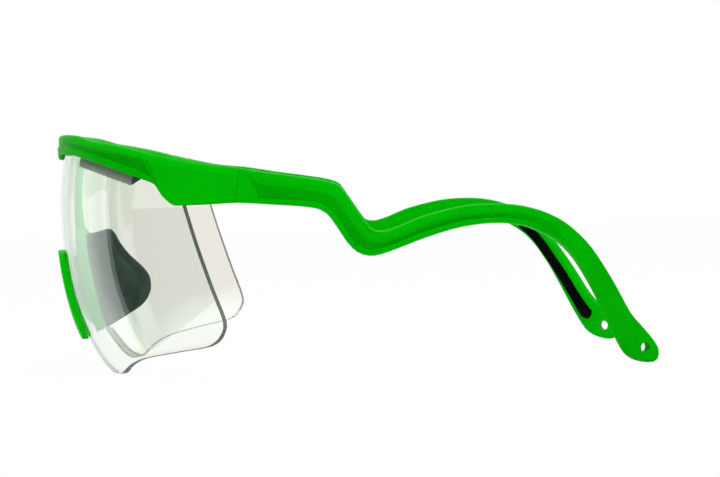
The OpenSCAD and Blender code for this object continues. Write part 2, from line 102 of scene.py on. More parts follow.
# Behind this X the painted shade of a temple's channel spreads over the next faces of its floor.
CHANNEL_SPREAD = -22 * MM
# The tint of the shield changes between these places: along X at the front, Y at the middle, Z at the foot.
TINT_FRONT = (-68.2 * MM, -65.4 * MM)
TINT_MIDDLE = (-3 * MM, 3 * MM)
TINT_FOOT = (8 * MM, 22 * MM)
# The strut of the carrier forks into its legs at this height, and its rear face lies so deep there.
STRUT_FOOT = 38 * MM
STRUT_REAR = 7.2 * MM
# Corners of a CAD node that are nearer than the first size are merged, and edges under the second vanish.
MERGE_WITHIN = 0.002 * MM
SHORTEST_EDGE = 0.001 * MM
# Name, place, target, size and watts of each lamp.
LAMPS = (
    ("key_light", (-0.05, -0.65, 0.85), (0.03, 0, 0.03), 0.7, 5.2),
    ("top_light", (0.2, 0.3, 1.0), (0, 0, 0.03), 0.9, 4.5),
)
# Half sizes of the floor and the backdrop, and how far behind the glasses the backdrop stands.
FLOOR_HALF = 3.0
BACKDROP_HALF = 8.0
BACKDROP_Y = 1.6
# Tint of the lit card that gloss sees.
CARD_COLOUR = (0.93, 1, 0.95, 1)


def colour_setting(name, description, default):
    """A colour that a user may change."""
    return FloatVectorProperty(
        name=name, description=description, subtype="COLOR", size=3, min=0, max=1, default=default
    )


def share_setting(name, description, default):
    """A share from 0 to 1 that a user may change."""
    return FloatProperty(
        name=name, description=description, subtype="FACTOR", min=0, max=1, default=default
    )


def number_setting(name, description, low, high, default):
    """A plain number that a user may change between two limits."""
    return FloatProperty(name=name, description=description, min=low, max=high, default=default)


class FrameSettings(bpy.types.PropertyGroup):
    """Moulded frame plastic."""

    colour: colour_setting(
        "Plastic colour", "Body colour of the brow bar and the temples", (0.0008, 0.47, 0.0012)
    )
    # The paler green of the carrier is a painted highlight on the strut.
    carrier_highlight_colour: colour_setting(
        "Carrier colour", "Paler plastic of the strut behind the shield", (0.16, 0.72, 0.18)
    )
    roughness: share_setting("Roughness", "Satin of the moulded surface", 0.32)
    # The channel shade darkens the colour of the channel floors as painted shade for their recess.
    channel_painted_shade: share_setting(
        "Channel shade", "Colour of the channel floors as a share of the body colour", 0.86
    )
    # The clip lift paints the nose clip brighter than the rest of the frame plastic: painted light.
    clip_painted_light: number_setting(
        "Clip lift", "Colour of the nose clip as a multiple of the body colour", 0.5, 2, 1.32
    )
    grain: FloatProperty(
        name="Grain",
        description="Size of the fine mould texture",
        subtype="DISTANCE",
        unit="LENGTH",
        min=0.00005,
        max=0.002,
        default=0.0004,
    )
    sharp_angle: FloatProperty(
        name="Edge angle",
        description="Faces that meet more steeply than this keep a crisp edge",
        subtype="ANGLE",
        min=0,
        max=math.pi,
        default=math.radians(38),
    )


class LensSettings(bpy.types.PropertyGroup):
    """Clear shield and its ground edges."""

    tint: colour_setting(
        "Tint, left half", "What one pass through the left half does to white light", (0.96, 1.0, 0.975)
    )
    far_tint: colour_setting(
        "Tint, right half", "What one pass through the right half does to white light", (0.93, 0.91, 0.83)
    )
    low_tint: colour_setting(
        "Tint, foot", "What one pass through the lowest part does to white light", (0.93, 0.95, 0.89)
    )
    front_tint: colour_setting(
        "Tint, front", "What one pass through the foremost part does to white light", (0.77, 0.84, 0.78)
    )
    # The rim colour is painted shade: the dark seen deep through the sheet at its rim.
    rim_shade_colour: colour_setting(
        "Rim colour", "Colour of the ground rim, where the shield is seen deep through its sheet",
        (0.10, 0.12, 0.10),
    )
    notch_colour: colour_setting(
        "Notch edge colour", "Colour of the clearer rim round the nose notch", (0.66, 0.71, 0.65)
    )
    bevel_colour: colour_setting(
        "Vent bevel colour", "Colour of the bevelled edge along the two vents", (0.27, 0.32, 0.27)
    )
    refraction: number_setting("Refraction", "Index of refraction inside the sheet", 1, 1.8, 1.3)
    polish: number_setting(
        "Polish", "Index of refraction of the hard coat, which sets how strongly it mirrors", 1, 2, 1.55
    )


class RubberSettings(bpy.types.PropertyGroup):
    """Black rubber of the temple strips."""

    colour: colour_setting("Rubber colour", "Colour of the temple strips", (0.001, 0.0025, 0.0013))
    roughness: share_setting("Roughness", "Matt finish of the rubber", 0.62)


class SaddleSettings(bpy.types.PropertyGroup):
    """Softer, greyer rubber of the nose saddle."""

    colour: colour_setting("Saddle colour", "Colour of the nose saddle", (0.036, 0.062, 0.047))
    roughness: share_setting("Roughness", "Matt finish of the saddle", 0.62)


class StageSettings(bpy.types.PropertyGroup):
    """Camera, lights and floor."""

    eye: FloatVectorProperty(
        name="Camera place",
        description="Where the camera stands",
        subtype="TRANSLATION",
        unit="LENGTH",
        size=3,
        default=(-0.003, -0.733, 0.0559),
    )
    aim: FloatVectorProperty(
        name="View direction",
        description="Where the camera looks",
        size=3,
        default=(0.009637, 1.0, -0.027915),
    )
    roll: FloatProperty(
        name="Roll",
        description="Tilt of the camera about its view",
        subtype="ANGLE",
        default=math.radians(1.74),
    )
    focal_length: number_setting(
        "Focal length", "Lens length in millimetres on a 36 mm sensor", 10, 400, 124.05
    )
    ambient: number_setting(
        "Ambient light", "Strength of the white room around the glasses", 0, 3, 0.42
    )
    mirror_room: number_setting(
        "Room in reflections", "Brightness of the room outside the backdrop, as gloss sees it", 0, 1, 0.07
    )
    mirror_card: number_setting(
        "Lit card in reflections", "Brightness of the left part of the backdrop, as gloss sees it",
        0, 4, 1.25,
    )
    mirror_back: number_setting(
        "Backdrop in reflections", "Brightness straight behind the glasses, as gloss sees it", 0, 4, 0.97
    )
    mirror_sky: number_setting(
        "Lamp in reflections", "Brightness of the overhead light, as gloss sees it", 0, 8, 1.6
    )
    card_from: FloatVectorProperty(
        name="Card edge origin",
        description="Point of the shield from which the left edge of the lit card is measured",
        unit="LENGTH",
        size=2,
        default=(-0.067, -0.0453),
    )
    card_angle: FloatProperty(
        name="Backdrop edge",
        description="Direction of the left edge of the backdrop, turned from the -X axis",
        subtype="ANGLE",
        default=math.radians(16.3),
    )


SETTINGS = {
    "glasses_frame": FrameSettings,
    "glasses_lens": LensSettings,
    "glasses_rubber": RubberSettings,
    "glasses_saddle": SaddleSettings,
    "glasses_stage": StageSettings,
}


def empty_tree(owner, kind):
    """Clear the nodes of a material or world. Returns its tree and the socket of its surface."""
    owner.use_nodes = True
    tree = owner.node_tree
    tree.nodes.clear()
    return tree, tree.nodes.new(kind).inputs["Surface"]


def new_finish(name):
    """A new material with only an output and a principled shader."""
    material = bpy.data.materials.new(name)
    tree, surface = empty_tree(material, "ShaderNodeOutputMaterial")
    shader = tree.nodes.new("ShaderNodeBsdfPrincipled")
    tree.links.new(shader.outputs["BSDF"], surface)
    return material, tree, shader


def rgba(colour):
    """A colour with full alpha."""
    return (*colour, 1)


def feed(tree, source, socket):
    """Give a socket a link or a plain value."""
    if isinstance(source, bpy.types.NodeSocket):
        tree.links.new(source, socket)
    else:
        socket.default_value = source


def axes(tree, place):
    """The X, Y and Z sockets of a place."""
    split = tree.nodes.new("ShaderNodeSeparateXYZ")
    tree.links.new(place, split.inputs["Vector"])
    return split.outputs


def ranged(tree, source, start, end, low, high, smooth=False):
    """Map a value between two limits to another range."""
    step = tree.nodes.new("ShaderNodeMapRange")
    if smooth:
        step.interpolation_type = "SMOOTHSTEP"
    step.inputs["From Min"].default_value = start
    step.inputs["From Max"].default_value = end
    step.inputs["To Min"].default_value = low
    step.inputs["To Max"].default_value = high
    tree.links.new(source, step.inputs["Value"])
    return step.outputs["Result"]


def object_noise(tree, scale, detail=2.0):
    """Noise on the piece's own coordinates, scale in features per metre."""
    place = tree.nodes.new("ShaderNodeTexCoord")
    noise = tree.nodes.new("ShaderNodeTexNoise")
    noise.inputs["Scale"].default_value = scale
    noise.inputs["Detail"].default_value = detail
    tree.links.new(place.outputs["Object"], noise.inputs["Vector"])
    return noise.outputs["Fac"]


def varied(tree, scale, low, high):
    """A value that wanders over the surface in a narrow range."""
    return ranged(tree, object_noise(tree, scale), 0.3, 0.7, low, high)


def mottled(tree, colour, amount, scale, start=0.35):
    """A colour that varies a little over the surface."""
    shades = tree.nodes.new("ShaderNodeValToRGB")
    dark, light = shades.color_ramp.elements
    dark.position = start
    light.position = 1 - start
    dark.color = rgba(c * (1 - amount) for c in colour)
    light.color = rgba(min(1, c * (1 + amount)) for c in colour)
    tree.links.new(object_noise(tree, scale), shades.inputs["Fac"])
    return shades.outputs["Color"]


def fine_bump(tree, shader, scale, height, strength):
    """Small surface relief from noise."""
    bump = tree.nodes.new("ShaderNodeBump")
    bump.inputs["Strength"].default_value = strength
    bump.inputs["Distance"].default_value = height
    tree.links.new(object_noise(tree, scale, 3.0), bump.inputs["Height"])
    tree.links.new(bump.outputs["Normal"], shader.inputs["Normal"])


def moulded_plastic(name, settings, colour):
    """Satin green nylon with a faint mould grain."""
    material, tree, shader = new_finish(name)
    tree.links.new(mottled(tree, colour, amount=0.04, scale=90), shader.inputs["Base Color"])
    satin = varied(tree, scale=400, low=settings.roughness - 0.04, high=settings.roughness + 0.05)
    tree.links.new(satin, shader.inputs["Roughness"])
    shader.inputs["IOR"].default_value = 1.12
    shader.inputs["Specular IOR Level"].default_value = 0.12
    shader.inputs["Specular Tint"].default_value = (0.06, 1.0, 0.06, 1)
    fine_bump(tree, shader, scale=1 / settings.grain, height=0.002 * MM, strength=0.15)
    return material


def tint_step(tree, axis, start, end, first, second):
    """Change from one colour to another along an axis of the piece."""
    step = tree.nodes.new("ShaderNodeMix")
    step.data_type = "RGBA"
    tree.links.new(ranged(tree, axis, start, end, 0, 1, smooth=True), step.inputs["Factor"])
    feed(tree, first, step.inputs["A"])
    feed(tree, second, step.inputs["B"])
    return step.outputs["Result"]


def clear_sheet(settings):
    """Polished transparent sheet with a faint tint that changes over its width and height."""
    material, tree, shader = new_finish("clear_shield")
    x, y, z = axes(tree, tree.nodes.new("ShaderNodeTexCoord").outputs["Object"])
    front_tint, tint, far_tint, low_tint = (
        rgba(colour)
        for colour in (settings.front_tint, settings.tint, settings.far_tint, settings.low_tint)
    )
    front = tint_step(tree, x, *TINT_FRONT, front_tint, tint)
    halves = tint_step(tree, y, *TINT_MIDDLE, front, far_tint)
    foot = tint_step(tree, z, *TINT_FOOT, low_tint, halves)
    tree.links.new(foot, shader.inputs["Base Color"])
    tree.links.new(varied(tree, scale=60, low=0, high=0.002), shader.inputs["Roughness"])
    shader.inputs["Transmission Weight"].default_value = 1.0
    shader.inputs["IOR"].default_value = settings.refraction
    shader.inputs["Coat Weight"].default_value = 1.0
    shader.inputs["Coat IOR"].default_value = settings.polish
    shader.inputs["Coat Roughness"].default_value = 0.0
    return material


def ground_edge(name, colour, clear):
    """Fine ground rim of the sheet, in the colour it is given; on the outer rim that colour is dark, painted
    shade for the dark gathered from inside the sheet.
    """
    material, tree, shader = new_finish(name)
    tree.links.new(mottled(tree, colour, amount=0.12, scale=150), shader.inputs["Base Color"])
    tree.links.new(varied(tree, scale=900, low=0.3, high=0.42), shader.inputs["Roughness"])
    shader.inputs["Transmission Weight"].default_value = clear
    shader.inputs["IOR"].default_value = 1.2
    fine_bump(tree, shader, scale=3000, height=0.01 * MM, strength=0.3)
    return material


def vent_bevel(settings):
    """Ground bevel of a vent: grey, with a painted highlight along its upper edge."""
    material, tree, shader = new_finish("vent_bevel")
    place = tree.nodes.new("ShaderNodeUVMap")
    place.uv_map = "bevel_height"
    height = axes(tree, place.outputs["UV"])["Y"]
    grey = mottled(tree, settings.bevel_colour, amount=0.1, scale=150, start=0.3)
    # A white band at the top of the bevel is a painted highlight.
    painted_highlight_white = (0.95, 0.97, 0.94, 1)
    painted_highlight = tint_step(tree, height, 0.76, 0.84, grey, painted_highlight_white)
    tree.links.new(painted_highlight, shader.inputs["Base Color"])
    shader.inputs["IOR"].default_value = 1.2
    shader.inputs["Roughness"].default_value = 0.36
    return material


def soft_rubber(name, settings, sheen):
    """Matt black rubber with a fine pebble."""
    material, tree, shader = new_finish(name)
    tree.links.new(mottled(tree, settings.colour, amount=0.2, scale=200), shader.inputs["Base Color"])
    matt = varied(tree, scale=700, low=settings.roughness - 0.06, high=settings.roughness + 0.08)
    tree.links.new(matt, shader.inputs["Roughness"])
    shader.inputs["Specular IOR Level"].default_value = sheen
    fine_bump(tree, shader, scale=2600, height=0.03 * MM, strength=0.5)
    return material


def turned_steel():
    """Bright small screw steel with lathe marks."""
    material, tree, shader = new_finish("screw_steel")
    steel = (0.62, 0.62, 0.63)
    tree.links.new(mottled(tree, steel, amount=0.06, scale=800), shader.inputs["Base Color"])
    tree.links.new(varied(tree, scale=1500, low=0.22, high=0.36), shader.inputs["Roughness"])
    shader.inputs["Metallic"].default_value = 1.0
    return material


def ramp(value, start, end):
    """Smooth rise from 0 at start to 1 at end."""
    part = min(1, max(0, (value - start) / (end - start)))
    return part * part * (3 - 2 * part)


def curve(rows, place):
    """Read a short table of (place, size in millimetres) at a place in the table's own unit."""
    if place <= rows[0][0]:
        return rows[0][1] * MM
    for (a, low), (b, high) in zip(rows, rows[1:]):
        if place <= b:
            return (low + (high - low) * (place - a) / (b - a)) * MM
    return rows[-1][1] * MM


def shield_place(point):
    """Depth of a point behind the face of the shield, and the way out of that face there."""
    out = Vector(point) - Vector((SHIELD_AXIS, 0, SHIELD_APEX))
    flat = Vector((out.x, out.y, 0)).normalized()
    away = out - flat * (SHIELD_R - SHIELD_SIDE_R)
    return SHIELD_SIDE_R - away.length, away.normalized()


def shield_point(half, height, depth, side):
    """The point at a half width and a height that lies so deep behind the face of the shield."""
    bow = SHIELD_SIDE_R - depth
    reach = SHIELD_R - SHIELD_SIDE_R + math.sqrt(bow**2 - (height - SHIELD_APEX) ** 2)
    return Vector((SHIELD_AXIS - math.sqrt(reach**2 - half**2), math.copysign(half, side), height))


def set_back(point):
    """The front of the glasses stands a little further back, with no step at the foot or the hinges."""
    most = 0.6 * MM
    share = ramp(point.z, 10 * MM, 42 * MM) * (1 - ramp(point.x, -64 * MM, -38 * MM))
    return Vector((point.x + most * share, point.y, point.z))


def brow_place(point):
    """Angle from the front in degrees and distance inward from the face of the brow bar."""
    out = Vector((BROW_CENTRE - point.x, abs(point.y)))
    angle = math.degrees(math.atan2(out.y, out.x))
    if angle <= BROW_SWEEP:
        return angle, BROW_R - out.length
    turn = math.radians(BROW_SWEEP)
    out -= (BROW_R - BEND_R) * Vector((math.cos(turn), math.sin(turn)))
    return math.degrees(math.atan2(out.y, out.x)), BEND_R - out.length


def close_split(point):
    """The end faces at the hinge stand nearer to each other than the running gap of the solids."""
    flat_within = 0.02 * MM
    out = Vector((math.cos(HINGE_LEAN), 0, -math.sin(HINGE_LEAN)))
    beyond = out.dot(point - Vector((SPLIT_X, point.y, SPLIT_Z)))
    if abs(abs(beyond) - SOLID_GAP) < flat_within:
        return point - out * math.copysign(SOLID_GAP - FINISHED_GAP, beyond)
    return Vector(point)


def shape_brow(point):
    """The top of the brow bar has a crisp front corner and falls towards its rear edge."""
    # Height of the top, and how far it sinks, by the angle from the front.
    tops = (
        (0, 68.1), (14, 68.1), (20, 68), (26, 67.8), (32, 66.9), (38, 65.9), (43, 65), (49, 63.4),
        (56, 61.4), (63, 60.4), (69, 59.6), (76, 58.8), (91, 57.1),
    )
    sag = ((16, -0.3), (24, 0), (32, 0.65), (46, 0.55), (56, 0.3), (70, 0.3), (84, 0))
    front_edge = 2 * MM
    rear_fall = 0.36
    corner_lift = 0.6
    angle, inward = brow_place(point)
    above = point.z - curve(tops, angle)
    upper = ramp(above, -2.4 * MM, -1.3 * MM)
    corner = (1 - ramp(inward, 1.8 * MM, 2.6 * MM)) * (1 - ramp(angle, 20, 40))
    moved = close_split(point)
    moved.z -= upper * (curve(sag, angle) + corner_lift * above * corner)
    moved.z -= rear_fall * max(0, inward - front_edge) * upper * (1 - ramp(angle, 72, 88))
    return set_back(moved)


def shape_clip(point):
    """The clip is narrower and a little thicker than its solid, and stays on the shield."""
    # Half width of the two edges by height, and how far each moves in.
    outer = ((9.3, 18.7), (10, 19.9), (11.6, 20), (14.6, 18.9), (22, 17), (30.5, 16), (33, 15.3), (34.8, 8))
    inner = ((9.5, 16.6), (10.6, 14.8), (12.4, 12.6), (17, 8.9), (23.5, 7), (27.2, 5.8), (30.4, 0))
    outer_in = ((9, 2.1), (30.5, 2.9), (33, 2.8), (34.2, 2.2))
    inner_in = ((9.5, 1.4), (10.6, 1), (12.4, 0.6), (15, 0))
    thicker = 1.08
    touching = 0.02 * MM
    depth, _ = shield_place(point)
    if depth > -touching:
        return set_back(point)
    half = abs(point.y)
    height = point.z / MM
    near = curve(inner, height)
    part = min(1, max(0, (half - near) / (curve(outer, height) - near)))
    half -= part * curve(outer_in, height)
    half -= (1 - part) * curve(inner_in, height)
    return set_back(shield_point(max(0, half), point.z, depth * thicker, point.y))


def shape_shield(point):
    """The notch of the shield is narrower than in the solid, and its lobes follow."""
    # Half width of the notch by height, and how far its edge moves in.
    notch = (
        (0, 29), (0.6, 27), (1.6, 25.7), (3.3, 24.2), (5.4, 23), (7.2, 21.8), (9.2, 20.6),
        (11, 18.8), (13.6, 17.4), (17.5, 16.4), (22, 15.6), (27, 14.6), (30.8, 12.8), (32.9, 0),
    )
    narrow = (
        (0, 1.4), (3.3, 1.6), (5.4, 1.8), (11, 1.8), (13.6, 2.2), (17.5, 2.4), (22, 2.6),
        (27, 2.6), (30.8, 2.2), (32.9, 0),
    )
    lobe_in = 1.2 * MM
    half = abs(point.y)
    depth, _ = shield_place(point)
    beyond = half - curve(notch, point.z / MM)
    inside = curve(narrow, point.z / MM) * (1 - ramp(beyond, 1.6 * MM, 10 * MM))
    lobe = lobe_in * (1 - ramp(half, 36 * MM, 52 * MM)) * (1 - ramp(point.z, 5 * MM, 14 * MM))
    return set_back(shield_point(max(0, half - max(inside, lobe)), point.z, depth, point.y))


def carrier_rear(height):
    """Depth of the rear face of the carrier, in the solid and as finished."""
    solid_rise = 0.095
    leg_rise = 0.056
    strut_top = 48 * MM
    slimmer = 1.2 * MM
    solid = STRUT_REAR + solid_rise * (STRUT_FOOT - min(height, strut_top))
    if height > STRUT_FOOT:
        return solid, solid - slimmer * ramp(height, STRUT_FOOT, STRUT_FOOT + 4 * MM)
    return solid, STRUT_REAR + leg_rise * (STRUT_FOOT - height)


def shape_carrier(point):
    """The strut and the legs stand nearer to the shield and are slimmer than their solid."""
    front = 4.1 * MM
    nearer = 0.65 * MM
    head = 61 * MM
    depth, _ = shield_place(point)
    solid, rear = carrier_rear(point.z)
    if point.z > head and depth > solid + 0.05 * MM:
        return set_back(point)
    part = (depth - front) / (solid - front)
    depth = front - nearer + part * (rear - front + nearer)
    return set_back(shield_point(abs(point.y), point.z, depth, point.y))


def shape_saddle(point):
    """The saddle stays on the carrier, and its top lies lower at the front."""
    lower = 1.1 * MM
    depth, _ = shield_place(point)
    solid, rear = carrier_rear(point.z)
    depth -= (solid - rear) * (1 - ramp(depth - solid, 0, 7 * MM))
    moved = shield_point(abs(point.y), point.z, depth, point.y)
    moved.z -= lower * ramp(moved.z, 34 * MM, 38 * MM) * (1 - ramp(moved.x, -76 * MM, -69 * MM))
    return set_back(moved)


def shape_strip(point):
    """The rubber strip runs further down the temple than its solid."""
    further = Vector((2.3 * MM, math.copysign(1, -point.y) * 1.7 * MM, -2.9 * MM))
    return point + (1 - ramp(point.z, 11 * MM, 30 * MM)) * further


def smooth_copy(node, name, material, angle, shape=None):
    """A merged copy of a CAD node that stands in for it, smooth apart from its crisp edges."""
    mesh = frame["nodes"][node].data.copy()
    mesh.name = name
    work = bmesh.new()
    work.from_mesh(mesh)
    bmesh.ops.remove_doubles(work, verts=work.verts, dist=MERGE_WITHIN)
    bmesh.ops.dissolve_degenerate(work, edges=work.edges, dist=SHORTEST_EDGE)
    if shape:
        for corner in work.verts:
            corner.co = shape(corner.co)
    for face in work.faces:
        face.smooth = True
        face.material_index = 0
    for edge in work.edges:
        edge.smooth = len(edge.link_faces) == 2 and edge.calc_face_angle() < angle
    work.to_mesh(mesh)
    work.free()
    mesh.materials.clear()
    mesh.materials.append(material)
    if "custom_normal" in mesh.attributes:
        mesh.attributes.remove(mesh.attributes["custom_normal"])
    piece = bpy.data.objects.new(name, mesh)
    bpy.context.scene.collection.objects.link(piece)
    even = piece.modifiers.new("Even normals", "WEIGHTED_NORMAL")
    even.keep_sharp = True
    even.weight = 70
    return piece


def on_channel_floor(face, low):
    """Whether a face looks outwards, touches an inner corner, and lies past the start of a channel."""
    before_split = 2.5 * MM
    least_facing = 0.85
    middle = face.calc_center_median()
    outward = Vector((0, math.copysign(1, middle.y), 0))
    if middle.x < SPLIT_X:
        outward = Vector((middle.x - BROW_CENTRE, middle.y, 0)).normalized()
    on_brow = middle.x < SPLIT_X - before_split
    on_temple = middle.x > CHANNEL_START - CHANNEL_RAKE * middle.z
    looks_out = face.normal.dot(outward) > least_facing
    return (on_brow or on_temple) and looks_out and not low.isdisjoint(face.verts)


def paint_channel_shade(piece, material):
    """Give the floors of the moulded channels their own darker material, which paints shade into their
    recess.
    """
    piece.data.materials.append(material)
    work = bmesh.new()
    work.from_mesh(piece.data)
    joined = [edge for edge in work.edges if len(edge.link_faces) == 2]
    low = set()
    for edge in joined:
        if not edge.is_convex and edge.calc_face_angle() > CHANNEL_ANGLE:
            low.update(edge.verts)
    for face in work.faces:
        if on_channel_floor(face, low):
            face.material_index = 1
    flat = [
        edge for edge in joined
        if edge.calc_face_angle() < FLOOR_ANGLE and edge.verts[0].co.x > CHANNEL_SPREAD
    ]
    for _ in range(2):
        edges_on = [edge for edge in flat if sum(face.material_index for face in edge.link_faces) == 1]
        for edge in edges_on:
            for face in edge.link_faces:
                face.material_index = 1
    work.to_mesh(piece.data)
    work.free()


def finish_shield(mesh):
    """Give each face of the shield its finish. Returns true normals and the points of the slanted rim."""
    flush_within = 0.08 * MM
    vent_above = 50 * MM
    notch_half = 30 * MM
    notch_below = 40 * MM
    foot = 12 * MM
    bevel_tilt = Vector((0, 0, 0.5))
    normals = [Vector((0, 0, 0))] * len(mesh.loops)
    slanted = set()
    heights = mesh.uv_layers.new(name="bevel_height")
    for face in mesh.polygons:
        middle = face.center
        facing = face.normal.dot(shield_place(middle)[1])
        places = [shield_place(mesh.vertices[corner].co) for corner in face.vertices]
        flush = all(min(abs(deep), abs(deep - SHIELD_THICK)) < flush_within for deep, _ in places)
        ledge = all(abs(deep - SHIELD_THICK / 2) < flush_within for deep, _ in places)
        if (flush or ledge) and abs(facing) > 0.9:
            face.material_index = NOTCH if ledge else CLEAR
            for loop, (_, away) in zip(face.loop_indices, places):
                normals[loop] = away * math.copysign(1, facing)
        elif facing > 0.6 and middle.z > vent_above:
            face.material_index = BEVEL
            for loop, (deep, away) in zip(face.loop_indices, places):
                normals[loop] = (away + bevel_tilt).normalized()
                heights.data[loop].uv = (0, deep / (SHIELD_THICK / 2))
        elif abs(middle.y) < notch_half and middle.z < notch_below:
            face.material_index = NOTCH
        elif middle.y > 0 and middle.z < foot:
            face.material_index = NOTCH
        else:
            face.material_index = RIM
            if middle.z < foot:
                rear = (corner for corner, (deep, _) in zip(face.vertices, places) if deep > SHIELD_THICK / 2)
                slanted.update(rear)
    return normals, slanted


def seat(piece, node):
    """Put a finished piece in the place of a CAD node, on the node's body."""
    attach(piece, frame["nodes"][node]["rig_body"])
    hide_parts(node)


class GLASSES_OT_frame(bpy.types.Operator):
    """Brow bar and the two temples"""

    bl_idname = "glasses.frame"
    bl_label = "Brow bar and temples"

    def execute(self, context):
        settings = context.scene.glasses_frame
        plastic = moulded_plastic("moulded_green_plastic", settings, settings.colour)
        # The channel floors get a darker copy of the body colour: painted shade in the recess.
        painted_shade = [c * settings.channel_painted_shade for c in settings.colour]
        channel = moulded_plastic("channel_painted_shade_plastic", settings, painted_shade)
        for node in ("brow_bar", "temple_left", "temple_right"):
            shape = shape_brow if node == "brow_bar" else close_split
            piece = smooth_copy(node, node + "_moulding", plastic, settings.sharp_angle, shape)
            paint_channel_shade(piece, channel)
            seat(piece, node)
        return {"FINISHED"}


class GLASSES_OT_nose(bpy.types.Operator):
    """Green carrier and clip with the rubber saddle"""

    bl_idname = "glasses.nose"
    bl_label = "Nose piece"

    def execute(self, context):
        settings = context.scene.glasses_frame
        # The clip is the frame plastic made brighter, as painted light.
        bright = [c * settings.clip_painted_light for c in settings.colour]
        clip = moulded_plastic("clip_painted_light_plastic", settings, bright)
        # The carrier's paler green is a painted highlight.
        highlight_plastic = moulded_plastic("carrier_painted_highlight_plastic", settings, settings.carrier_highlight_colour)
        for node, shape, plastic in (
            ("nose_carrier", shape_carrier, highlight_plastic),
            ("nose_clip", shape_clip, clip),
        ):
            piece = smooth_copy(node, node + "_moulding", plastic, settings.sharp_angle, shape)
            seat(piece, node)
        rubber = soft_rubber("saddle_rubber", context.scene.glasses_saddle, 0.1)
        piece = smooth_copy("nose_pad", "nose_saddle", rubber, math.radians(60), shape_saddle)
        seat(piece, "nose_pad")
        return {"FINISHED"}


class GLASSES_OT_lens(bpy.types.Operator):
    """Clear toric shield with ground edges and bevelled vents"""

    bl_idname = "glasses.lens"
    bl_label = "Shield"

    def execute(self, context):
        settings = context.scene.glasses_lens
        piece = smooth_copy("lens", "shield", clear_sheet(settings), math.radians(30))
        piece.modifiers.clear()
        mesh = piece.data
        # The outer rim gets a dark colour as painted shade.
        mesh.materials.append(ground_edge("shield_edge_painted_shade", settings.rim_shade_colour, 0.3))
        mesh.materials.append(vent_bevel(settings))
        mesh.materials.append(ground_edge("notch_edge", settings.notch_colour, 0.25))
        normals, slanted = finish_shield(mesh)
        slant = 0.3 * MM
        for corner in mesh.vertices:
            corner.co = shape_shield(corner.co)
            if corner.index in slanted:
                corner.co.z -= slant
        mesh.normals_split_custom_set(normals)
        seat(piece, "lens")
        return {"FINISHED"}


class GLASSES_OT_grips(bpy.types.Operator):
    """Rubber strips on the inner faces of the temples"""

    bl_idname = "glasses.grips"
    bl_label = "Temple strips"

    def execute(self, context):
        rubber = soft_rubber("strip_rubber", context.scene.glasses_rubber, 0.02)
        for node in ("grip_left", "grip_right"):
            piece = smooth_copy(node, node + "_strip", rubber, math.radians(50), shape_strip)
            seat(piece, node)
        return {"FINISHED"}


class GLASSES_OT_screws(bpy.types.Operator):
    """Slotted hinge screws"""

    bl_idname = "glasses.screws"
    bl_label = "Hinge screws"

    def execute(self, context):
        piece = smooth_copy("hinge_screws", "slotted_screws", turned_steel(), math.radians(35))
        seat(piece, "hinge_screws")
        return {"FINISHED"}


def area_light(name, place, target, size, power):
    """A large square lamp aimed at a point."""
    lamp = bpy.data.lights.new(name, "AREA")
    lamp.shape = "SQUARE"
    lamp.size = size
    lamp.energy = power
    holder = bpy.data.objects.new(name, lamp)
    bpy.context.scene.collection.objects.link(holder)
    holder.location = place
    holder.rotation_euler = (Vector(target) - Vector(place)).to_track_quat("-Z", "Y").to_euler()


def combine(tree, operation, first, second):
    """One sum of two sockets, or of a socket and a number."""
    step = tree.nodes.new("ShaderNodeMath")
    step.operation = operation
    feed(tree, first, step.inputs[0])
    feed(tree, second, step.inputs[1])
    return step.outputs[0]


def mixed(tree, share, first, second):
    """Two looks mixed by a share of the second."""
    mix = tree.nodes.new("ShaderNodeMixShader")
    tree.links.new(share, mix.inputs["Fac"])
    tree.links.new(first, mix.inputs[1])
    tree.links.new(second, mix.inputs[2])
    return mix.outputs[0]


def glow(tree, kind, strength, colour=(1, 1, 1, 1)):
    """A plain source of light, its strength a number or a socket."""
    source = tree.nodes.new(kind)
    source.inputs["Color"].default_value = colour
    feed(tree, strength, source.inputs["Strength"])
    return source.outputs[0]


def layered(tree, kind, base, mirror, share):
    """Base for diffuse light, a mirror look for gloss, plain white to the eye and through clear parts."""
    path = tree.nodes.new("ShaderNodeLightPath")
    bounced = combine(tree, "MINIMUM", path.outputs["Glossy Depth"], 1)
    through = path.outputs["Is Transmission Ray"]
    inside = combine(tree, "MULTIPLY", through, bounced)
    mirrored = combine(tree, "MAXIMUM", path.outputs["Is Glossy Ray"], inside)
    straight = combine(tree, "SUBTRACT", through, inside)
    seen = combine(tree, "MAXIMUM", path.outputs["Is Camera Ray"], straight)
    gloss = mixed(tree, mirrored, base, mirror)
    return mixed(tree, combine(tree, "MULTIPLY", seen, share), gloss, glow(tree, kind, 1.0))


def lit_card(tree, settings):
    """The lit backdrop as gloss sees it, uneven by the direction from the shield."""
    # A turn of 0 is straight behind the shield, 0.5 is to its left, and 1 is on the camera's side.
    x, y, _ = axes(tree, tree.nodes.new("ShaderNodeNewGeometry").outputs["Position"])
    left = combine(tree, "SUBTRACT", settings.card_from[0], x)
    behind = combine(tree, "SUBTRACT", y, settings.card_from[1])
    turn = combine(tree, "DIVIDE", combine(tree, "ARCTAN2", left, behind), math.pi)
    edge = 0.5 - settings.card_angle / math.pi
    bright_spot = 1.35 * settings.mirror_card
    shades = tree.nodes.new("ShaderNodeValToRGB")
    steps = shades.color_ramp.elements
    steps[0].position = 0.2
    steps[0].color = rgba([settings.mirror_back] * 3)
    steps[1].position = 0.3
    steps[1].color = rgba([bright_spot] * 3)
    for position, bright in (
        (0.38, settings.mirror_card),
        (edge, settings.mirror_card),
        (edge + 0.004, settings.mirror_room),
    ):
        steps.new(position).color = rgba([bright] * 3)
    tree.links.new(turn, shades.inputs["Fac"])
    return glow(tree, "ShaderNodeEmission", shades.outputs["Color"], CARD_COLOUR)


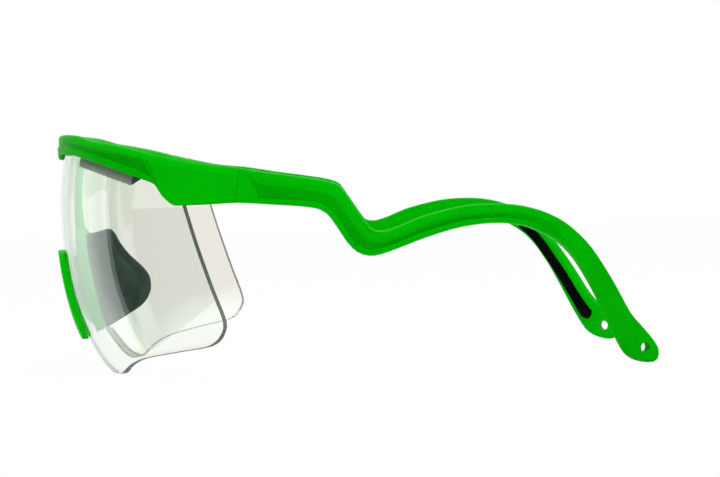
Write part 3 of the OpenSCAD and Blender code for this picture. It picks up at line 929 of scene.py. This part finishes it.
def white_room(settings):
    """A world that is white to the eye, with a dim room and an overhead lamp for gloss."""
    world = bpy.data.worlds.new("white_room")
    tree, surface = empty_tree(world, "ShaderNodeOutputWorld")
    height = axes(tree, tree.nodes.new("ShaderNodeTexCoord").outputs["Generated"])["Z"]
    # The lamp begins, and is full, at these sines of the angle above the horizon.
    lamp_edge = 0.42
    lamp_full = 0.55
    sky = ranged(tree, height, lamp_edge, lamp_full, settings.mirror_room, settings.mirror_sky)
    room = glow(tree, "ShaderNodeBackground", settings.ambient)
    dim = glow(tree, "ShaderNodeBackground", sky)
    tree.links.new(layered(tree, "ShaderNodeBackground", room, dim, share=1.0), surface)
    return world


def floor_paper(settings):
    """White paper that keeps the shadow of the glasses."""
    paper = bpy.data.materials.new("white_floor")
    tree, surface = empty_tree(paper, "ShaderNodeOutputMaterial")
    matt = tree.nodes.new("ShaderNodeBsdfDiffuse")
    matt.inputs["Color"].default_value = (0.9, 0.9, 0.9, 1)
    card = lit_card(tree, settings)
    tree.links.new(layered(tree, "ShaderNodeEmission", matt.outputs[0], card, share=0.97), surface)
    return paper


def backdrop_cloth(settings):
    """White cloth behind the glasses, lit from itself."""
    cloth = bpy.data.materials.new("white_backdrop")
    tree, surface = empty_tree(cloth, "ShaderNodeOutputMaterial")
    base = glow(tree, "ShaderNodeEmission", settings.ambient)
    card = lit_card(tree, settings)
    tree.links.new(layered(tree, "ShaderNodeEmission", base, card, share=1.0), surface)
    return cloth


def stage_plane(name, half, material):
    """A flat square of the stage."""
    shape = bmesh.new()
    bmesh.ops.create_grid(shape, x_segments=2, y_segments=2, size=half)
    mesh = bpy.data.meshes.new(name)
    shape.to_mesh(mesh)
    shape.free()
    mesh.materials.append(material)
    plane = bpy.data.objects.new(name, mesh)
    bpy.context.scene.collection.objects.link(plane)
    return plane


def photo_camera(settings):
    """The camera at the photograph's view."""
    camera = bpy.data.cameras.new("camera")
    camera.sensor_width = 36
    camera.lens = settings.focal_length
    camera.clip_start = 0.01
    camera.clip_end = 20
    eye = bpy.data.objects.new("camera", camera)
    bpy.context.scene.collection.objects.link(eye)
    forward = Vector(settings.aim).normalized()
    lean = Vector((math.sin(settings.roll), 0, math.cos(settings.roll)))
    right = forward.cross(lean).normalized()
    turn = Matrix((right, right.cross(forward), -forward)).transposed().to_4x4()
    eye.matrix_world = Matrix.Translation(Vector(settings.eye)) @ turn
    return eye


class GLASSES_OT_stage(bpy.types.Operator):
    """White floor, soft lamps and the camera of the photograph"""

    bl_idname = "glasses.stage"
    bl_label = "Stage"

    def execute(self, context):
        settings = context.scene.glasses_stage
        scene = context.scene
        scene.view_settings.view_transform = "Standard"
        scene.world = white_room(settings)
        stage_plane("floor", FLOOR_HALF, floor_paper(settings))
        backdrop = stage_plane("backdrop", BACKDROP_HALF, backdrop_cloth(settings))
        backdrop.location = (0, BACKDROP_Y, 0)
        backdrop.rotation_euler = (math.radians(90), 0, 0)
        for lamp in LAMPS:
            area_light(*lamp)
        scene.camera = photo_camera(settings)
        return {"FINISHED"}


class GLASSES_PT_panel(bpy.types.Panel):
    """Lists the pieces and their settings"""

    bl_label = "Cycling glasses"
    bl_idname = "GLASSES_PT_panel"
    bl_space_type = "VIEW_3D"
    bl_region_type = "UI"
    bl_category = "Glasses"

    def draw(self, context):
        column = self.layout.column()
        for operator, name in (
            (GLASSES_OT_frame, "glasses_frame"),
            (GLASSES_OT_nose, "glasses_saddle"),
            (GLASSES_OT_lens, "glasses_lens"),
            (GLASSES_OT_grips, "glasses_rubber"),
            (GLASSES_OT_screws, None),
            (GLASSES_OT_stage, "glasses_stage"),
        ):
            column.operator(operator.bl_idname)
            if name:
                for setting in SETTINGS[name].__annotations__:
                    column.prop(getattr(context.scene, name), setting)


CLASSES = (
    *SETTINGS.values(),
    GLASSES_OT_frame,
    GLASSES_OT_nose,
    GLASSES_OT_lens,
    GLASSES_OT_grips,
    GLASSES_OT_screws,
    GLASSES_OT_stage,
    GLASSES_PT_panel,
)


def register():
    """Add the classes and the settings to Blender."""
    for cls in CLASSES:
        bpy.utils.register_class(cls)
    for name, group in SETTINGS.items():
        setattr(bpy.types.Scene, name, PointerProperty(type=group))


def unregister():
    """Take the settings and the classes away again."""
    for name in SETTINGS:
        delattr(bpy.types.Scene, name)
    for cls in reversed(CLASSES):
        bpy.utils.unregister_class(cls)


def main():
    """Build the whole scene."""
    register()
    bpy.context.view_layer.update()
    bpy.ops.glasses.stage()
    bpy.ops.glasses.frame()
    bpy.ops.glasses.nose()
    bpy.ops.glasses.lens()
    bpy.ops.glasses.grips()
    bpy.ops.glasses.screws()


if __name__ == "__main__":
    main()
